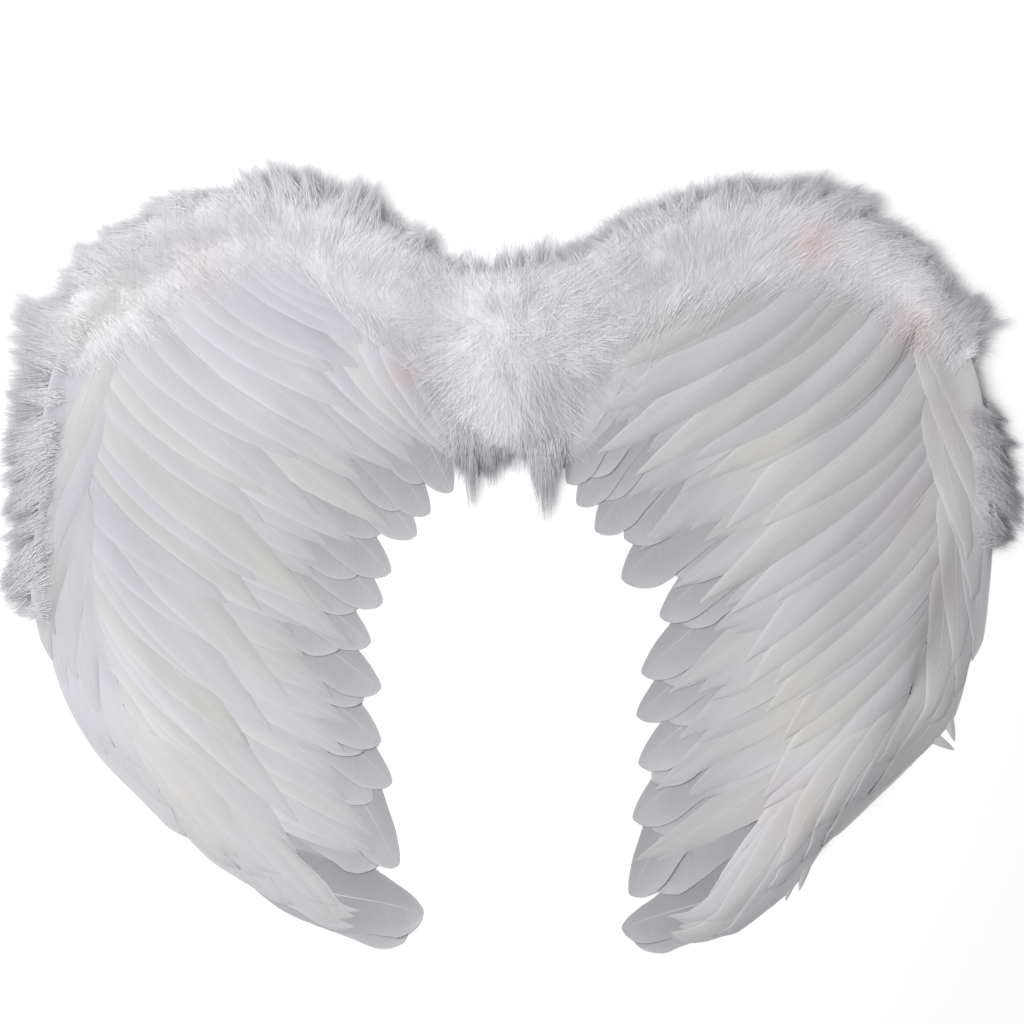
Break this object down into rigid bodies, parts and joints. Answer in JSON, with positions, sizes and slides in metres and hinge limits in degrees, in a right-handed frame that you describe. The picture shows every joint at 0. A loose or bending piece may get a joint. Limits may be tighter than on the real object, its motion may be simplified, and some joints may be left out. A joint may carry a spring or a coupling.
{
  "type": "feather costume wings",
  "caption": "Pair of white feather costume wings in a horseshoe, with fluffy marabou along the leading edges and over the middle, lying flat on their felt backing.",
  "frame": {"origin": "the middle of the yoke's back face, where the wings sit on the wearer's back", "axes": "+X across the pair, +Y towards the wearer's head with the wing tips at -Y, +Z out of the feathered side"},
  "size_m": [0.6222, 0.4687, 0.0394],
  "materials": {
    "panel": "matt white felt",
    "feather": "satin white feather vanes with a faint cream tint",
    "boa": "soft white marabou down"
  },
  "bodies": {
    "root": {"yoke": "panel", "left_panel": "panel", "left_flight_01": "feather", "left_flight_02": "feather", "left_flight_03": "feather", "left_flight_04": "feather", "left_flight_05": "feather", "left_flight_06": "feather", "left_flight_07": "feather", "left_flight_08": "feather", "left_flight_09": "feather", "left_flight_10": "feather", "left_flight_11": "feather", "left_covert_01": "feather", "left_covert_02": "feather", "left_covert_03": "feather", "left_covert_04": "feather", "left_covert_05": "feather", "left_covert_06": "feather", "left_covert_07": "feather", "left_covert_08": "feather", "left_covert_09": "feather", "left_covert_10": "feather", "left_upper_coverts": "feather", "left_edge_01": "feather", "left_edge_02": "feather", "left_edge_03": "feather", "left_edge_04": "feather", "left_edge_05": "feather", "left_boa": "boa", "right_panel": "panel", "right_flight_01": "feather", "right_flight_02": "feather", "right_flight_03": "feather", "right_flight_04": "feather", "right_flight_05": "feather", "right_flight_06": "feather", "right_flight_07": "feather", "right_flight_08": "feather", "right_flight_09": "feather", "right_flight_10": "feather", "right_flight_11": "feather", "right_covert_01": "feather", "right_covert_02": "feather", "right_covert_03": "feather", "right_covert_04": "feather", "right_covert_05": "feather", "right_covert_06": "feather", "right_covert_07": "feather", "right_covert_08": "feather", "right_covert_09": "feather", "right_covert_10": "feather", "right_upper_coverts": "feather", "right_edge_01": "feather", "right_edge_02": "feather", "right_edge_03": "feather", "right_edge_04": "feather", "right_edge_05": "feather", "right_boa": "boa", "centre_boa": "boa"}
  },
  "joints": []
}
